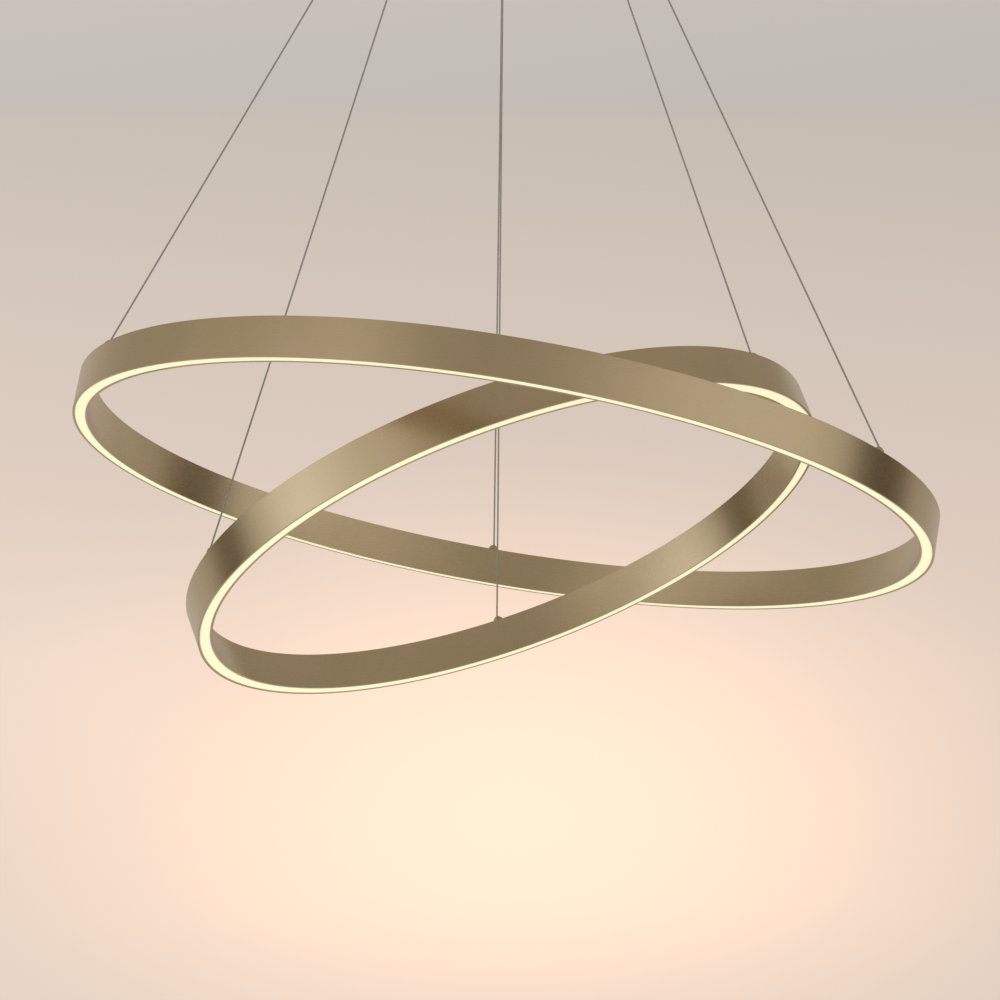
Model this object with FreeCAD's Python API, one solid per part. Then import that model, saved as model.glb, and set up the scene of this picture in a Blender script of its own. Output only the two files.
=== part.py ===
import FreeCAD, Part
import math
import os

# Two-ring pendant light: a round ceiling canopy carries six thin steel cables, and each ring hangs
# on three of them, tilted its own way.  Millimetres, +Z up.  The origin is on the ceiling, at the
# middle of the ceiling bracket, so that the whole light hangs below z = 0.

Vector, Placement, Rotation = FreeCAD.Vector, FreeCAD.Placement, FreeCAD.Rotation
UP = Vector(0, 0, 1)

# ---- the two rings -------------------------------------------------------------------------
LARGE_OUTER_D = 800.0        # outside diameter of the large ring
SMALL_OUTER_D = 600.0        # outside diameter of the small ring, nested inside the large one
LARGE_CENTRE_DROP = 749.0    # ceiling to the large ring's centre
SMALL_CENTRE_DROP = 799.3    # ceiling to the small ring's centre
LARGE_TILT, LARGE_HIGH_SIDE = 9.6, 180.0     # degrees off level, and where its high side faces
SMALL_TILT, SMALL_HIGH_SIDE = 20.9, 337.5
LARGE_HANG_AT = (205.1, 324.8, 92.2)         # where the cables meet the ring, degrees round it
SMALL_HANG_AT = (206.5, 326.0, 91.4)

# ---- channel that both rings are rolled from: tall, thin and open below ---------------------
CHANNEL_H = 36.0             # height of the channel
CHANNEL_W = 14.0             # width across the two walls
CHANNEL_WALL = 1.9           # side walls, which show below as two fine lips
CHANNEL_TOP = 2.5            # top web, thick enough to carry the cable anchors
DIFFUSER_T = 4.0             # opal strip
DIFFUSER_RECESS = 0.4        # strip set back from the lips
DIFFUSER_FIT = 0.1           # gap between strip and each wall

# ---- light engine under the top web ---------------------------------------------------------
BOARD_L, BOARD_W, BOARD_T = 78.0, 5.0, 1.2   # rigid straight boards laid as chords
BOARD_GAP = 3.0              # least gap between boards

# ---- cable anchors on the rings -------------------------------------------------------------
ANCHOR_HEAD_D, ANCHOR_HEAD_H = 9.4, 5.2      # domed head that stands on the ring
ANCHOR_DOME = 2.4            # height of the head's sloped crown
ANCHOR_CROWN_D = 4.8         # flat at the top of the crown
ANCHOR_STEM_D = 6.0          # threaded stem through the web
ANCHOR_STEM_OUT = 2.0        # stem below its nut
ANCHOR_HOLE_FIT = 0.15       # radial gap of the stem in its hole
ANCHOR_NUT_T = 4.0
ANCHOR_NUT_SIDE = 0.4        # nut's flat to the channel wall that keeps it from turning
THREAD_FIT = 0.05            # radial gap that stands for a thread
NECK_D = 2.4                 # swaged neck on the cable's end
NECK_FIT = 0.12              # radial gap of the neck in the anchor's bore
NECK_PROUD = 0.6             # neck above the crown
STOP_D, STOP_L = 4.8, 5.0    # barrel that the ring's weight pulls up against the stem
STOP_SEAT = 0.05             # gap between barrel and stem

# ---- cables and their grippers on the canopy -------------------------------------------------
CABLE_D = 1.6
CABLE_END_CLEAR = 0.15       # least gap at each end of a cable
EXIT_AT = (210.0, 330.0, 90.0)               # where the cables leave the canopy, degrees round it
SMALL_EXIT_R = 51.5          # inner circle of grippers, for the small ring
GRIP_D, GRIP_L = 11.0, 18.0  # gripper body under the canopy
GRIP_STEM_D = 8.0
GRIP_STEM_OUT = 3.0          # stem above its nut
GRIP_HOLE_FIT = 0.15
GRIP_NUT_AF, GRIP_NUT_T = 12.0, 4.0
NUT_GAP = 1.5                # between the nuts of the inner and outer circles
PLUNGER_D = 4.6              # release plunger
PLUNGER_BORE_D = 2.4
PLUNGER_FIT = 0.06           # running fit in the body
PLUNGER_OUT = 6.0            # plunger below the body
PLUNGER_IN = 8.0             # plunger inside the body
SPRING_L = 6.0               # room for the spring and jaws above the plunger
CABLE_BORE_D = 2.6           # way for the spare cable through the stem

# ---- canopy ----------------------------------------------------------------------------------
CANOPY_D = 190.0
CANOPY_WALL, CANOPY_BASE = 1.2, 1.6
CANOPY_ROOM = 4.4            # free height between the driver and the terminal block
STRAP_T, STRAP_W = 2.0, 24.0 # steel ceiling strap
STRAP_END_GAP = 0.6          # tab to canopy wall, on the centre line
STRAP_BEND = 3.0             # outside radius of the tab bends
TAB_W, TAB_H = 16.0, 16.0    # the strap's turned-down tabs
TAB_NECK = 8.0               # length of strap that is already as narrow as the tab
SLOT_SPACING, SLOT_L, SLOT_W = 90.0, 30.0, 5.5
WIRE_HOLE_D = 12.0           # mains cable entry in the strap
SIDE_SCREW_D, SIDE_SCREW_HEAD_D, SIDE_SCREW_HEAD_T = 4.0, 8.0, 2.4
SIDE_SCREW_DROP = 9.0        # ceiling to the side screws
SIDE_SCREW_L = 6.0
SCREW_FIT = 0.15

# ---- driver and terminal block ---------------------------------------------------------------
DRIVER_L, DRIVER_W, DRIVER_H = 112.0, 40.0, 20.0
DRIVER_GAP = 4.0             # clear of the nuts of the two front grippers
DRIVER_CORNER = 3.0          # cut off each upright corner
EAR_L, EAR_W, EAR_T = 9.0, 16.0, 2.0
STUD_D, STUD_OUT = 3.0, 1.5  # studs welded on the canopy's base, and their length past the nut
STUD_HOLE_FIT = 0.2
STUD_NUT_AF, STUD_NUT_T = 5.5, 2.4
TERMINAL_L, TERMINAL_W, TERMINAL_H = 20.0, 18.0, 10.0
TERMINAL_GAP = 2.0           # from the wire hole's edge
TERMINAL_STEP = 3.5          # wire side is lower than the screw side

SMALL_SIDES = 12             # flats that stand for the roundness of stems, bores and other tiny pieces

# ---- sizes that follow from the ones above ---------------------------------------------------
LARGE_R, SMALL_R = LARGE_OUTER_D / 2, SMALL_OUTER_D / 2
LARGE_EXIT_R = SMALL_EXIT_R + GRIP_NUT_AF + NUT_GAP
ANCHOR_NUT_AF = CHANNEL_W - 2 * CHANNEL_WALL - 2 * ANCHOR_NUT_SIDE
ANCHOR_STEM_L = CHANNEL_TOP + ANCHOR_NUT_T + ANCHOR_STEM_OUT
CANOPY_H = CANOPY_BASE + DRIVER_H + CANOPY_ROOM + TERMINAL_H + STRAP_T
BASE_IN = -CANOPY_H + CANOPY_BASE            # inner face of the canopy's base
GRIP_STEM_TOP = BASE_IN + GRIP_NUT_T + GRIP_STEM_OUT
DRIVER_FRONT = (SMALL_EXIT_R * math.sin(math.radians(EXIT_AT[0])) + GRIP_NUT_AF / math.sqrt(3)
                + DRIVER_GAP)
DRIVER_MID_Y = DRIVER_FRONT + DRIVER_W / 2
GRIP_BOTTOM = -CANOPY_H - GRIP_L
PLUNGER_BOTTOM = GRIP_BOTTOM - PLUNGER_OUT
PLUNGER_TOP = GRIP_BOTTOM + PLUNGER_IN


def polar(radius, degrees, z=0.0):
    a = math.radians(degrees)
    return Vector(radius * math.cos(a), radius * math.sin(a), z)


def turned(*points):
    """Solid of revolution about Z from (radius, z) corners."""
    loop = [Vector(r, 0, z) for r, z in points]
    face = Part.Face(Part.makePolygon(loop + loop[:1]))
    return face.revolve(Vector(0, 0, 0), UP, 360)


def cylinder(radius, z0, z1):
    return Part.makeCylinder(radius, z1 - z0, Vector(0, 0, z0))


def flat_ring(radius, sides, z, first=0.0):
    """Regular polygon with its corners on the radius."""
    return Part.makePolygon([polar(radius, first + 360 * k / sides, z) for k in range(sides + 1)])


def rod(radius, z0, z1, top_radius=None):
    """Tiny round or tapered piece, drawn with a few flats."""
    low = flat_ring(radius, SMALL_SIDES, z0)
    if top_radius is None:
        return Part.Face(low).extrude(UP * (z1 - z0))
    return Part.makeLoft([low, flat_ring(top_radius, SMALL_SIDES, z1)], True, True)


def hex_nut(across_flats, hole_r, z0, z1):
    """Nut with two flats square to X."""
    body = Part.Face(flat_ring(across_flats / math.sqrt(3), 6, z0, 30)).extrude(UP * (z1 - z0))
    return body.cut(rod(hole_r, z0 - 1, z1 + 1))


def placed(shape, *placements):
    """Copy of a shape, moved by the first placement, then the next."""
    total = Placement()
    for p in placements:
        total = p.multiply(total)
    out = shape.copy()
    out.Placement = total.multiply(out.Placement)
    return out


def turn_z(degrees, offset=None):
    return Placement(offset or Vector(), Rotation(UP, degrees))


def save(name, solids):
    solids = solids if isinstance(solids, list) else [solids]
    shape = solids[0] if len(solids) == 1 else Part.makeCompound(solids)
    shape.exportStep(os.path.join("parts", name + ".step"))
    print("%-26s solids %2d  volume %10.1f  valid %s"
          % (name, len(solids), sum(s.Volume for s in solids), all(s.isValid() for s in solids)))


# ---- ceiling hardware ------------------------------------------------------------------------

def ceiling_bracket():
    """Bent steel strap with slots for the ceiling screws and a threaded tab down at each end."""
    end = CANOPY_D / 2 - CANOPY_WALL - STRAP_END_GAP
    strap = bent_section(end, 0, STRAP_BEND).cut(bent_section(end - STRAP_T, STRAP_T,
                                                              STRAP_BEND - STRAP_T))
    neck = Part.makeBox(TAB_NECK + 1, STRAP_W, TAB_H + 2, Vector(end - TAB_NECK, TAB_W / 2, -TAB_H - 1))
    for turn in (0, 180):
        for mirror in (neck, neck.mirror(Vector(), Vector(0, 1, 0))):
            strap = strap.cut(placed(mirror, turn_z(turn)))
        middle = polar(SLOT_SPACING / 2, turn)
        strap = strap.cut(slot().translated(middle))
    strap = strap.cut(cylinder(WIRE_HOLE_D / 2, -STRAP_T - 1, 1))
    return strap.cut(side_bore(SIDE_SCREW_D / 2 + THREAD_FIT, CANOPY_D))


def bent_section(half_l, drop, bend):
    """Block as wide as the strap, from z = -drop to the tabs' ends, with two rounded top edges."""
    c = bend * (1 - math.sqrt(0.5))
    low, top = -TAB_H - (drop > 0), -drop
    corners = [Vector(half_l, 0, low), Vector(half_l, 0, top - bend), Vector(half_l - bend, 0, top),
               Vector(-half_l + bend, 0, top), Vector(-half_l, 0, top - bend), Vector(-half_l, 0, low)]
    edges = [Part.makeLine(corners[0], corners[1]),
             Part.Arc(corners[1], Vector(half_l - c, 0, top - c), corners[2]).toShape(),
             Part.makeLine(corners[2], corners[3]),
             Part.Arc(corners[3], Vector(-half_l + c, 0, top - c), corners[4]).toShape(),
             Part.makeLine(corners[4], corners[5]), Part.makeLine(corners[5], corners[0])]
    block = Part.Face(Part.Wire(edges)).extrude(Vector(0, STRAP_W, 0))
    return block.translated(Vector(0, -STRAP_W / 2, 0))


def slot():
    run, r, z0 = SLOT_L - SLOT_W, SLOT_W / 2, -STRAP_T - 1
    bar = Part.makeBox(run, SLOT_W, STRAP_T + 2, Vector(-run / 2, -r, z0))
    ends = [cylinder(r, z0, 1).translated(Vector(s * run / 2, 0, 0)) for s in (-1, 1)]
    return bar.fuse(ends).removeSplitter()


def side_bore(radius, length):
    """Rod along X at the side screws' height, used to bore the tabs and the canopy."""
    across = Placement(Vector(0, 0, -SIDE_SCREW_DROP), Rotation(Vector(0, 1, 0), 90))
    return placed(rod(radius, -length / 2, length / 2), across)


def canopy_cover():
    """Round cup, open towards the ceiling, with gripper holes, side screw holes and two studs."""
    r, ri = CANOPY_D / 2, CANOPY_D / 2 - CANOPY_WALL
    cup = turned((0, -CANOPY_H), (r, -CANOPY_H), (r, 0), (ri, 0), (ri, BASE_IN), (0, BASE_IN))
    cup = cup.cut(at_grippers(rod(GRIP_STEM_D / 2 + GRIP_HOLE_FIT, -CANOPY_H - 1, BASE_IN + 1)))
    cup = cup.cut(side_bore(SIDE_SCREW_D / 2 + SCREW_FIT, CANOPY_D + 10))
    stud = rod(STUD_D / 2, BASE_IN - CANOPY_BASE / 2, BASE_IN + EAR_T + STUD_NUT_T + STUD_OUT)
    return cup.fuse([stud.translated(c) for c in stud_centres()]).removeSplitter()


def stud_centres():
    x = DRIVER_L / 2 + EAR_L / 2
    return [Vector(-x, DRIVER_MID_Y, 0), Vector(x, DRIVER_MID_Y, 0)]


def canopy_side_screws():
    """Two screws that pin the canopy to the strap's tabs."""
    r = CANOPY_D / 2
    screw = rod(SIDE_SCREW_D / 2, r - SIDE_SCREW_L, r + SIDE_SCREW_HEAD_T / 2)
    screw = screw.fuse(cylinder(SIDE_SCREW_HEAD_D / 2, r, r + SIDE_SCREW_HEAD_T)).removeSplitter()
    drop = Vector(0, 0, -SIDE_SCREW_DROP)
    return [placed(screw, Placement(drop, Rotation(Vector(0, 1, 0), s * 90))) for s in (1, -1)]


def led_driver():
    """Closed driver case on the canopy's base, with an ear at each end."""
    case = Part.makeBox(DRIVER_L, DRIVER_W, DRIVER_H, Vector(-DRIVER_L / 2, DRIVER_FRONT, BASE_IN))
    upright = [e for e in case.Edges if abs(e.Vertexes[0].Z - e.Vertexes[1].Z) > 1]
    case = case.makeChamfer(DRIVER_CORNER, upright)
    for s, centre in zip((-1, 1), stud_centres()):
        ear = Part.makeBox(EAR_L + 1, EAR_W, EAR_T, Vector(centre.x - EAR_L / 2 - (s > 0),
                                                            DRIVER_MID_Y - EAR_W / 2, BASE_IN))
        hole = rod(STUD_D / 2 + STUD_HOLE_FIT, BASE_IN - 1, BASE_IN + EAR_T + 1)
        case = case.fuse(ear).cut(hole.translated(centre))
    return case.removeSplitter()


def driver_nuts():
    z = BASE_IN + EAR_T
    nut = hex_nut(STUD_NUT_AF, STUD_D / 2 + THREAD_FIT, z, z + STUD_NUT_T)
    return [nut.translated(c) for c in stud_centres()]


def terminal_block():
    """Stepped block under the strap, beside the wire hole."""
    x0 = WIRE_HOLE_D / 2 + TERMINAL_GAP
    x1, x2, low = x0 + TERMINAL_L / 3, x0 + TERMINAL_L, STRAP_T + TERMINAL_H
    section = [Vector(x0, 0, -STRAP_T), Vector(x2, 0, -STRAP_T), Vector(x2, 0, -low),
               Vector(x1, 0, -low), Vector(x1, 0, -low + TERMINAL_STEP),
               Vector(x0, 0, -low + TERMINAL_STEP)]
    block = Part.Face(Part.makePolygon(section + section[:1])).extrude(Vector(0, TERMINAL_W, 0))
    return block.translated(Vector(0, -TERMINAL_W / 2, 0))


# ---- cable grippers --------------------------------------------------------------------------

def gripper_body():
    """Round body with a threaded stem; the plunger slides in its lower bore."""
    body = cylinder(GRIP_D / 2, GRIP_BOTTOM, -CANOPY_H)
    body = body.fuse(rod(GRIP_STEM_D / 2, -CANOPY_H - 1, GRIP_STEM_TOP)).removeSplitter()
    body = body.cut(rod(PLUNGER_D / 2 + PLUNGER_FIT, GRIP_BOTTOM - 1, PLUNGER_TOP + SPRING_L))
    return body.cut(rod(CABLE_BORE_D / 2, PLUNGER_TOP, GRIP_STEM_TOP + 1))


def plunger():
    outside = rod(PLUNGER_D / 2, PLUNGER_BOTTOM, PLUNGER_TOP)
    return outside.cut(rod(PLUNGER_BORE_D / 2, PLUNGER_BOTTOM - 1, PLUNGER_TOP + 1))


def at_grippers(solid):
    """One copy at each gripper, with its flats square to the canopy's radius."""
    return [placed(solid, turn_z(a, polar(r, a))) for r in (LARGE_EXIT_R, SMALL_EXIT_R) for a in EXIT_AT]


# ---- rings -----------------------------------------------------------------------------------

def ring_place(drop, tilt, high_side):
    """Where a ring hangs: its centre below the canopy's middle, its high side raised by the tilt."""
    return Placement(Vector(0, 0, -drop), Rotation(polar(1, high_side - 90), tilt))


def ring_channel(outer_r, hang_at):
    """Rolled channel, open below, bored through its web for the cable anchors."""
    top, t = CHANNEL_H / 2, CHANNEL_WALL
    inner_r, web = outer_r - CHANNEL_W, CHANNEL_H / 2 - CHANNEL_TOP
    ring = turned((inner_r, top), (outer_r, top), (outer_r, -top), (outer_r - t, -top),
                  (outer_r - t, web), (inner_r + t, web), (inner_r + t, -top), (inner_r, -top))
    hole = rod(ANCHOR_STEM_D / 2 + ANCHOR_HOLE_FIT, -CHANNEL_TOP - 1, 1)
    return ring.cut(at_anchors(hole, outer_r, hang_at))


def ring_diffuser(outer_r):
    """Opal strip pressed between the channel's walls."""
    outer = outer_r - CHANNEL_WALL - DIFFUSER_FIT
    inner = outer_r - CHANNEL_W + CHANNEL_WALL + DIFFUSER_FIT
    z0 = -CHANNEL_H / 2 + DIFFUSER_RECESS
    return turned((inner, z0), (outer, z0), (outer, z0 + DIFFUSER_T), (inner, z0 + DIFFUSER_T))


def board_places(outer_r, hang_at):
    """Turns for the straight boards that fill each stretch between two anchors."""
    mid = outer_r - CHANNEL_W / 2
    pitch = math.degrees((BOARD_L + BOARD_GAP) / mid)
    keep_off = math.degrees((ANCHOR_NUT_AF / math.sqrt(3) + BOARD_GAP) / mid)
    angles = sorted(hang_at)
    for start, end in zip(angles, angles[1:] + [angles[0] + 360]):
        span = end - start - 2 * keep_off
        count = int((span + math.degrees(BOARD_GAP / mid)) // pitch)
        for k in range(count):
            yield start + keep_off + span * (k + 0.5) / count


def led_boards(outer_r, hang_at):
    """Straight boards under the web, each centred in the channel between its middle and its ends."""
    mid, web = outer_r - CHANNEL_W / 2, CHANNEL_H / 2 - CHANNEL_TOP
    sag = mid - math.sqrt(mid ** 2 - (BOARD_L / 2) ** 2)
    board = Part.makeBox(BOARD_W, BOARD_L, BOARD_T,
                         Vector(mid - sag / 2 - BOARD_W / 2, -BOARD_L / 2, web - BOARD_T))
    return [placed(board, turn_z(a)) for a in board_places(outer_r, hang_at)]


def cable_anchor():
    """Hollow screw with a sloped crown, its head standing on z = 0."""
    shoulder = ANCHOR_HEAD_H - ANCHOR_DOME
    screw = rod(ANCHOR_HEAD_D / 2, 0, shoulder)
    crown = rod(ANCHOR_HEAD_D / 2, shoulder, ANCHOR_HEAD_H, ANCHOR_CROWN_D / 2)
    screw = screw.fuse([crown, rod(ANCHOR_STEM_D / 2, -ANCHOR_STEM_L, shoulder / 2)])
    return screw.removeSplitter().cut(rod(NECK_D / 2 + NECK_FIT, -ANCHOR_STEM_L - 1, ANCHOR_HEAD_H + 1))


def anchor_nut():
    return hex_nut(ANCHOR_NUT_AF, ANCHOR_STEM_D / 2 + THREAD_FIT, -CHANNEL_TOP - ANCHOR_NUT_T,
                   -CHANNEL_TOP)


def cable_stop():
    """Swaged end of a cable: a neck up through the anchor and a barrel under its stem."""
    seat = -ANCHOR_STEM_L - STOP_SEAT
    neck = rod(NECK_D / 2, seat - STOP_L / 2, ANCHOR_HEAD_H + NECK_PROUD)
    return neck.fuse(rod(STOP_D / 2, seat - STOP_L, seat)).removeSplitter()


def at_anchors(solid, outer_r, hang_at):
    """One copy at each hang point, standing on the ring's top with its flats along the walls."""
    mid = outer_r - CHANNEL_W / 2
    return [placed(solid, turn_z(a, polar(mid, a, CHANNEL_H / 2))) for a in hang_at]


# ---- cables ----------------------------------------------------------------------------------

def cable(ring, outer_r, hang_deg, exit_r, exit_deg):
    """Straight taut cable from under its plunger to the swaged neck on the ring."""
    low = ring.multVec(polar(outer_r - CHANNEL_W / 2, hang_deg,
                             CHANNEL_H / 2 + ANCHOR_HEAD_H + NECK_PROUD))
    high = polar(exit_r, exit_deg, PLUNGER_BOTTOM)
    way = (high - low).normalize()
    low = low + way * end_gap(way, ring.Rotation.multVec(UP))
    high = high - way * end_gap(way, UP)
    return placed(rod(CABLE_D / 2, 0, (high - low).Length), Placement(low, Rotation(UP, way)))


def end_gap(way, normal):
    """How far a slanted cable's end stays back, so that its low edge clears the face."""
    lean = way.getAngle(normal)
    return (CABLE_D / 2 * math.sin(lean) + CABLE_END_CLEAR) / math.cos(lean)


def build_ring(label, outer_r, hang_at, place, exit_r):
    def save_on_ring(name, solids):
        solids = solids if isinstance(solids, list) else [solids]
        save(label + "_" + name, [placed(s, place) for s in solids])

    save_on_ring("ring_channel", ring_channel(outer_r, hang_at))
    save_on_ring("ring_diffuser", ring_diffuser(outer_r))
    save_on_ring("led_boards", led_boards(outer_r, hang_at))
    save_on_ring("cable_anchors", at_anchors(cable_anchor(), outer_r, hang_at))
    save_on_ring("anchor_nuts", at_anchors(anchor_nut(), outer_r, hang_at))
    save_on_ring("cable_stops", at_anchors(cable_stop(), outer_r, hang_at))
    for side, hang_deg, exit_deg in zip(("left", "right", "back"), hang_at, EXIT_AT):
        save("%s_cable_%s" % (label, side), cable(place, outer_r, hang_deg, exit_r, exit_deg))
        plunger_here = placed(plunger(), turn_z(exit_deg, polar(exit_r, exit_deg)))
        save("%s_plunger_%s" % (label, side), plunger_here)


os.makedirs("parts", exist_ok=True)
save("ceiling_bracket", ceiling_bracket())
save("canopy_cover", canopy_cover())
save("canopy_side_screws", canopy_side_screws())
save("led_driver", led_driver())
save("driver_nuts", driver_nuts())
save("terminal_block", terminal_block())
save("gripper_bodies", at_grippers(gripper_body()))
save("gripper_nuts", at_grippers(hex_nut(GRIP_NUT_AF, GRIP_STEM_D / 2 + THREAD_FIT, BASE_IN,
                                         BASE_IN + GRIP_NUT_T)))
build_ring("large", LARGE_R, LARGE_HANG_AT,
           ring_place(LARGE_CENTRE_DROP, LARGE_TILT, LARGE_HIGH_SIDE), LARGE_EXIT_R)
build_ring("small", SMALL_R, SMALL_HANG_AT,
           ring_place(SMALL_CENTRE_DROP, SMALL_TILT, SMALL_HIGH_SIDE), SMALL_EXIT_R)
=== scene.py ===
import math

import bmesh
import bpy
from mathutils import Matrix, Vector


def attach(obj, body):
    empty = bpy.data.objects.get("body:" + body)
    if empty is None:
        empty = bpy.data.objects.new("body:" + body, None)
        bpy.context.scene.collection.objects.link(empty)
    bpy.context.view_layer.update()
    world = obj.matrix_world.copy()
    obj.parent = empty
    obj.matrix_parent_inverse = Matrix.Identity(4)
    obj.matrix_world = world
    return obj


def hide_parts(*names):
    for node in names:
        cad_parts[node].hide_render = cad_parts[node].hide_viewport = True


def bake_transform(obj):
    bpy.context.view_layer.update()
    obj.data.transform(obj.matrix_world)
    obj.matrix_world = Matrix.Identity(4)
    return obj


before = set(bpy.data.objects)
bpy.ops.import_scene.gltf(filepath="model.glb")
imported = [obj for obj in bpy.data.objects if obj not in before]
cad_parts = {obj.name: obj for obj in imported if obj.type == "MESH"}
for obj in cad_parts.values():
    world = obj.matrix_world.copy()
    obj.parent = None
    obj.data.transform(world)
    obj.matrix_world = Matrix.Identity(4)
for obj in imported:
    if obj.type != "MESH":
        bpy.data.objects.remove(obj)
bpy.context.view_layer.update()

# ---- Ceiling bracket: a bent strip of zinc-plated steel with two screw slots and a wire hole.
# ---- Its ends are turned down and threaded for the canopy's side screws.

BRACKET_EDGE = 0.0003
WELD, FLAT_ANGLE, CORNER_ANGLE, SMOOTH_ANGLE = 0.000005, 1, 40, 35
ZINC_DARK, ZINC_LIGHT = (0.42, 0.43, 0.44, 1), (0.66, 0.66, 0.65, 1)


def select_only(*pieces):
    """Selects these pieces alone, with the first of them active."""
    bpy.ops.object.select_all(action="DESELECT")
    for piece in pieces:
        piece.select_set(True)
    bpy.context.view_layer.objects.active = pieces[0]


def ease_edges(piece, width, segments=2):
    """Rounds a piece's corners by that width, and shades its gentle bends smooth."""
    select_only(piece)
    bevel = piece.modifiers.new("edge", "BEVEL")
    bevel.width, bevel.segments, bevel.limit_method = width, segments, "ANGLE"
    bevel.angle_limit = math.radians(CORNER_ANGLE)
    bpy.ops.object.modifier_apply(modifier="edge")
    bpy.ops.object.shade_smooth_by_angle(angle=math.radians(SMOOTH_ANGLE))


def eased_copy(node, name, body, edge, segments=2):
    """A copy of a plain solid with its edges slightly broken, as pressing leaves them."""
    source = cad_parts[node]
    piece = source.copy()
    piece.data = source.data.copy()
    piece.name = piece.data.name = name
    bpy.context.collection.objects.link(piece)
    piece.parent = None
    select_only(piece)
    bpy.ops.object.mode_set(mode="EDIT")
    bpy.ops.mesh.select_all(action="SELECT")
    bpy.ops.mesh.remove_doubles(threshold=WELD)
    bpy.ops.mesh.dissolve_limited(angle_limit=math.radians(FLAT_ANGLE))
    bpy.ops.object.mode_set(mode="OBJECT")
    ease_edges(piece, edge, segments)
    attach(piece, body)
    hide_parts(node)
    return piece


def new_material(name):
    """A new material, its node tree and its own shader."""
    material = bpy.data.materials.new(name)
    material.use_nodes = True
    return material, material.node_tree, material.node_tree.nodes["Principled BSDF"]


def plug(value, socket):
    """Links another node's result to a socket, or sets the socket to a plain value."""
    if isinstance(value, bpy.types.NodeSocket):
        socket.id_data.links.new(value, socket)
    else:
        socket.default_value = value


def set_up(node, **inputs):
    """Links or sets a node's inputs by name, where an underscore stands for a space."""
    for name, value in inputs.items():
        plug(value, node.inputs[name.replace("_", " ")])
    return node


def add_node(tree, kind, **inputs):
    """Adds a shader node with these of its inputs linked or set."""
    return set_up(tree.nodes.new("ShaderNode" + kind), **inputs)


def washed(tree, value, marks):
    """Colours at marks along the value, joined evenly."""
    ramp = add_node(tree, "ValToRGB", Fac=value)
    stops = ramp.color_ramp.elements
    stops[0].position, stops[0].color = marks[0]
    stops[1].position, stops[1].color = marks[-1]
    for position, colour in marks[1:-1]:
        stops.new(position).color = colour
    return ramp.outputs["Color"]


def between(tree, pattern, low, high):
    """Spreads a pattern's 0 to 1 from low to high."""
    spread = add_node(tree, "MapRange", Value=pattern, To_Min=low, To_Max=high)
    return spread.outputs["Result"]


def relief(tree, pattern, strength, height, **under):
    """Raises and sinks the surface by a pattern, on top of the relief that is given as Normal."""
    bump = add_node(tree, "Bump", Height=pattern, Strength=strength, Distance=height, **under)
    return bump.outputs["Normal"]


def dress(piece, material):
    """Gives a piece this one material."""
    piece.data.materials.clear()
    piece.data.materials.append(material)


def zinc_plate():
    """Bright zinc on steel: a grey with clouds and a fine spangle in its gloss."""
    material, tree, shader = new_material("zinc_plate")
    place = add_node(tree, "TexCoord").outputs["Object"]
    clouds = add_node(tree, "TexNoise", Vector=place, Scale=160, Detail=5).outputs["Fac"]
    spangle = add_node(tree, "TexVoronoi", Vector=place, Scale=700).outputs["Distance"]
    set_up(shader, Metallic=1.0,
           Base_Color=washed(tree, clouds, [(0.3, ZINC_DARK), (0.75, ZINC_LIGHT)]),
           Roughness=between(tree, spangle, 0.3, 0.48),
           Normal=relief(tree, clouds, strength=0.15, height=0.0003))
    return material


zinc = zinc_plate()
bracket = eased_copy("ceiling_bracket", "strap_of_ceiling", "canopy", BRACKET_EDGE)
dress(bracket, zinc)

# ---- Canopy: a spun sheet-metal cup in satin champagne brass that hides the bracket and driver.
# ---- It is pinned to the bracket's tabs, its rim lies on the ceiling, and two studs stand inside.

CANOPY_RADIUS, CANOPY_HEIGHT, CANOPY_WALL, CANOPY_BASE = 0.095, 0.038, 0.0012, 0.0016
CANOPY_EDGE, STUD_EDGE = 0.0005, 0.0003
STUD_RADIUS, STUD_TALL, STUD_X, STUD_Y = 0.0015, 0.0059, 0.0605, 0.005178
CHAMPAGNE_DARK, CHAMPAGNE_LIGHT = (0.49, 0.401, 0.26, 1), (0.53, 0.425, 0.29, 1)
CHAMPAGNE_SHEEN = (0.86, 0.85, 0.85, 1)
EVEN_GRAIN, ROLLED_GRAIN = (900, 900, 900), (60, 2600, 1)


def champagne_brass(name, grain_follows, grain_scale):
    """Satin champagne brass: an even colour with faint warm clouds, a fine grain and soft gloss."""
    material, tree, shader = new_material(name)
    places = add_node(tree, "TexCoord").outputs
    clouds = add_node(tree, "TexNoise", Vector=places["Object"], Scale=14, Detail=3, Roughness=0.45)
    specks = add_node(tree, "TexNoise", Vector=places["Object"], Scale=1300, Detail=2)
    drawn = add_node(tree, "Mapping", Vector=places[grain_follows], Scale=grain_scale)
    grain = add_node(tree, "TexNoise", Vector=drawn.outputs["Vector"], Scale=1, Detail=4)
    colours = [(0.32, CHAMPAGNE_DARK), (0.72, CHAMPAGNE_LIGHT)]
    grained = relief(tree, grain.outputs["Fac"], strength=0.03, height=0.0001)
    set_up(shader, Metallic=1.0, Specular_Tint=CHAMPAGNE_SHEEN,
           Base_Color=washed(tree, clouds.outputs["Fac"], colours),
           Roughness=between(tree, grain.outputs["Fac"], 0.25, 0.31),
           Normal=relief(tree, specks.outputs["Fac"], strength=0.04, height=0.0001, Normal=grained))
    return material


def settle(piece, place=None):
    """Puts a finished piece's place into its mesh, so that its object stands at the origin."""
    select_only(piece)
    if place is not None:
        piece.matrix_world = place @ piece.matrix_world
    bpy.ops.object.transform_apply(location=True, rotation=True, scale=True)


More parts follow.
